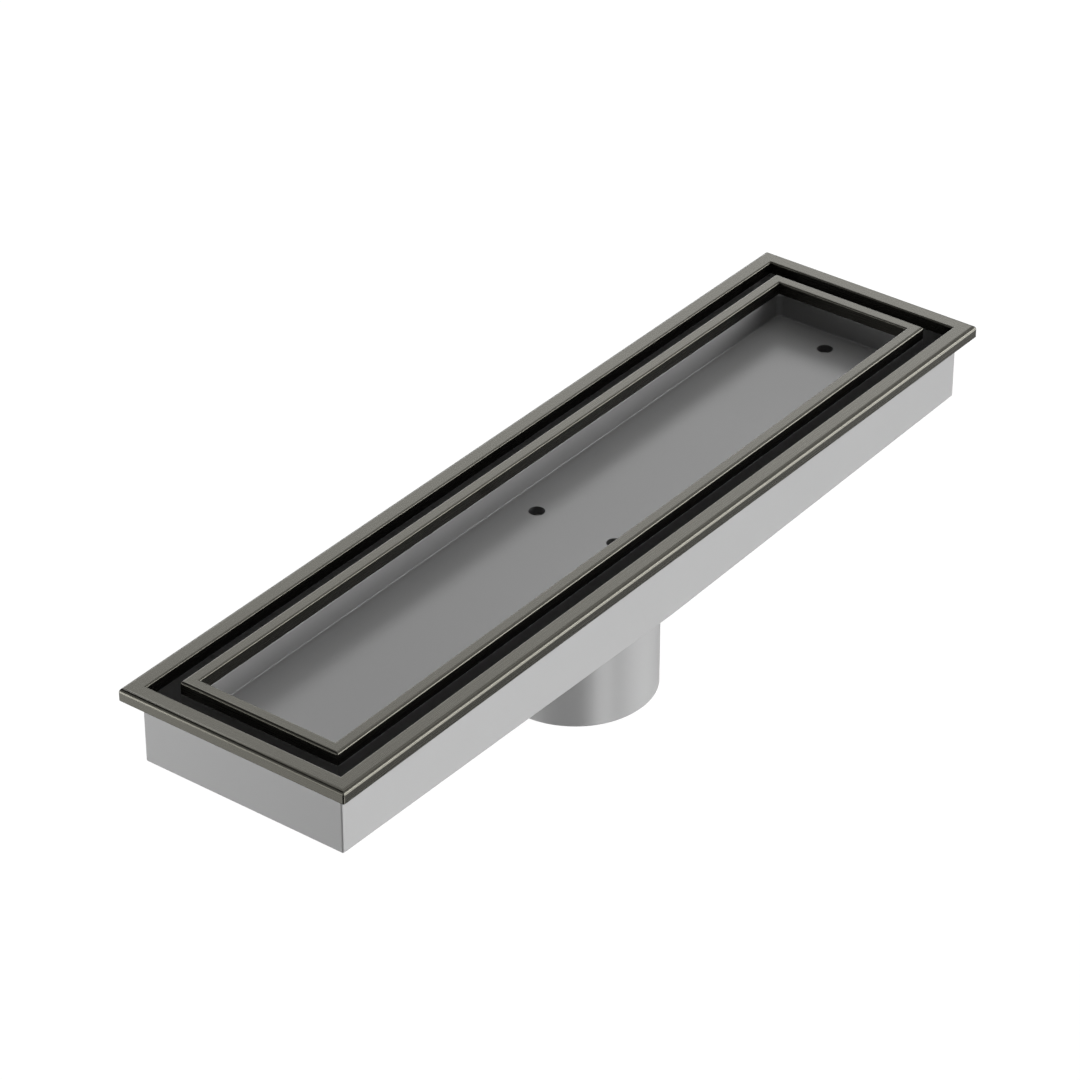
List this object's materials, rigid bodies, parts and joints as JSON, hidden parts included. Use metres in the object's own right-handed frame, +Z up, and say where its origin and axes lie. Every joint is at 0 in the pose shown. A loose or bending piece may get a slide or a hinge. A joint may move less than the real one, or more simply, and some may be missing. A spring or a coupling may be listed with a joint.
{
  "type": "linear shower drain",
  "caption": "Linear shower drain with a metal rim, a lift-out tray that takes a tile, a falling moulded channel and a round outlet below the middle.",
  "frame": {"origin": "centre of the outlet's lower end", "axes": "+X along the drain, +Y across it, +Z up out of the finished floor"},
  "size_m": [0.4, 0.103, 0.0852],
  "materials": {
    "light_plastic": "satin moulded",
    "grey_plastic": "satin moulded",
    "gunmetal_steel": "brushed, gunmetal coated"
  },
  "bodies": {
    "root": {"channel_body": "light_plastic", "outer_frame": "gunmetal_steel", "tile_tray": "grey_plastic", "tray_trim": "gunmetal_steel"}
  },
  "joints": []
}
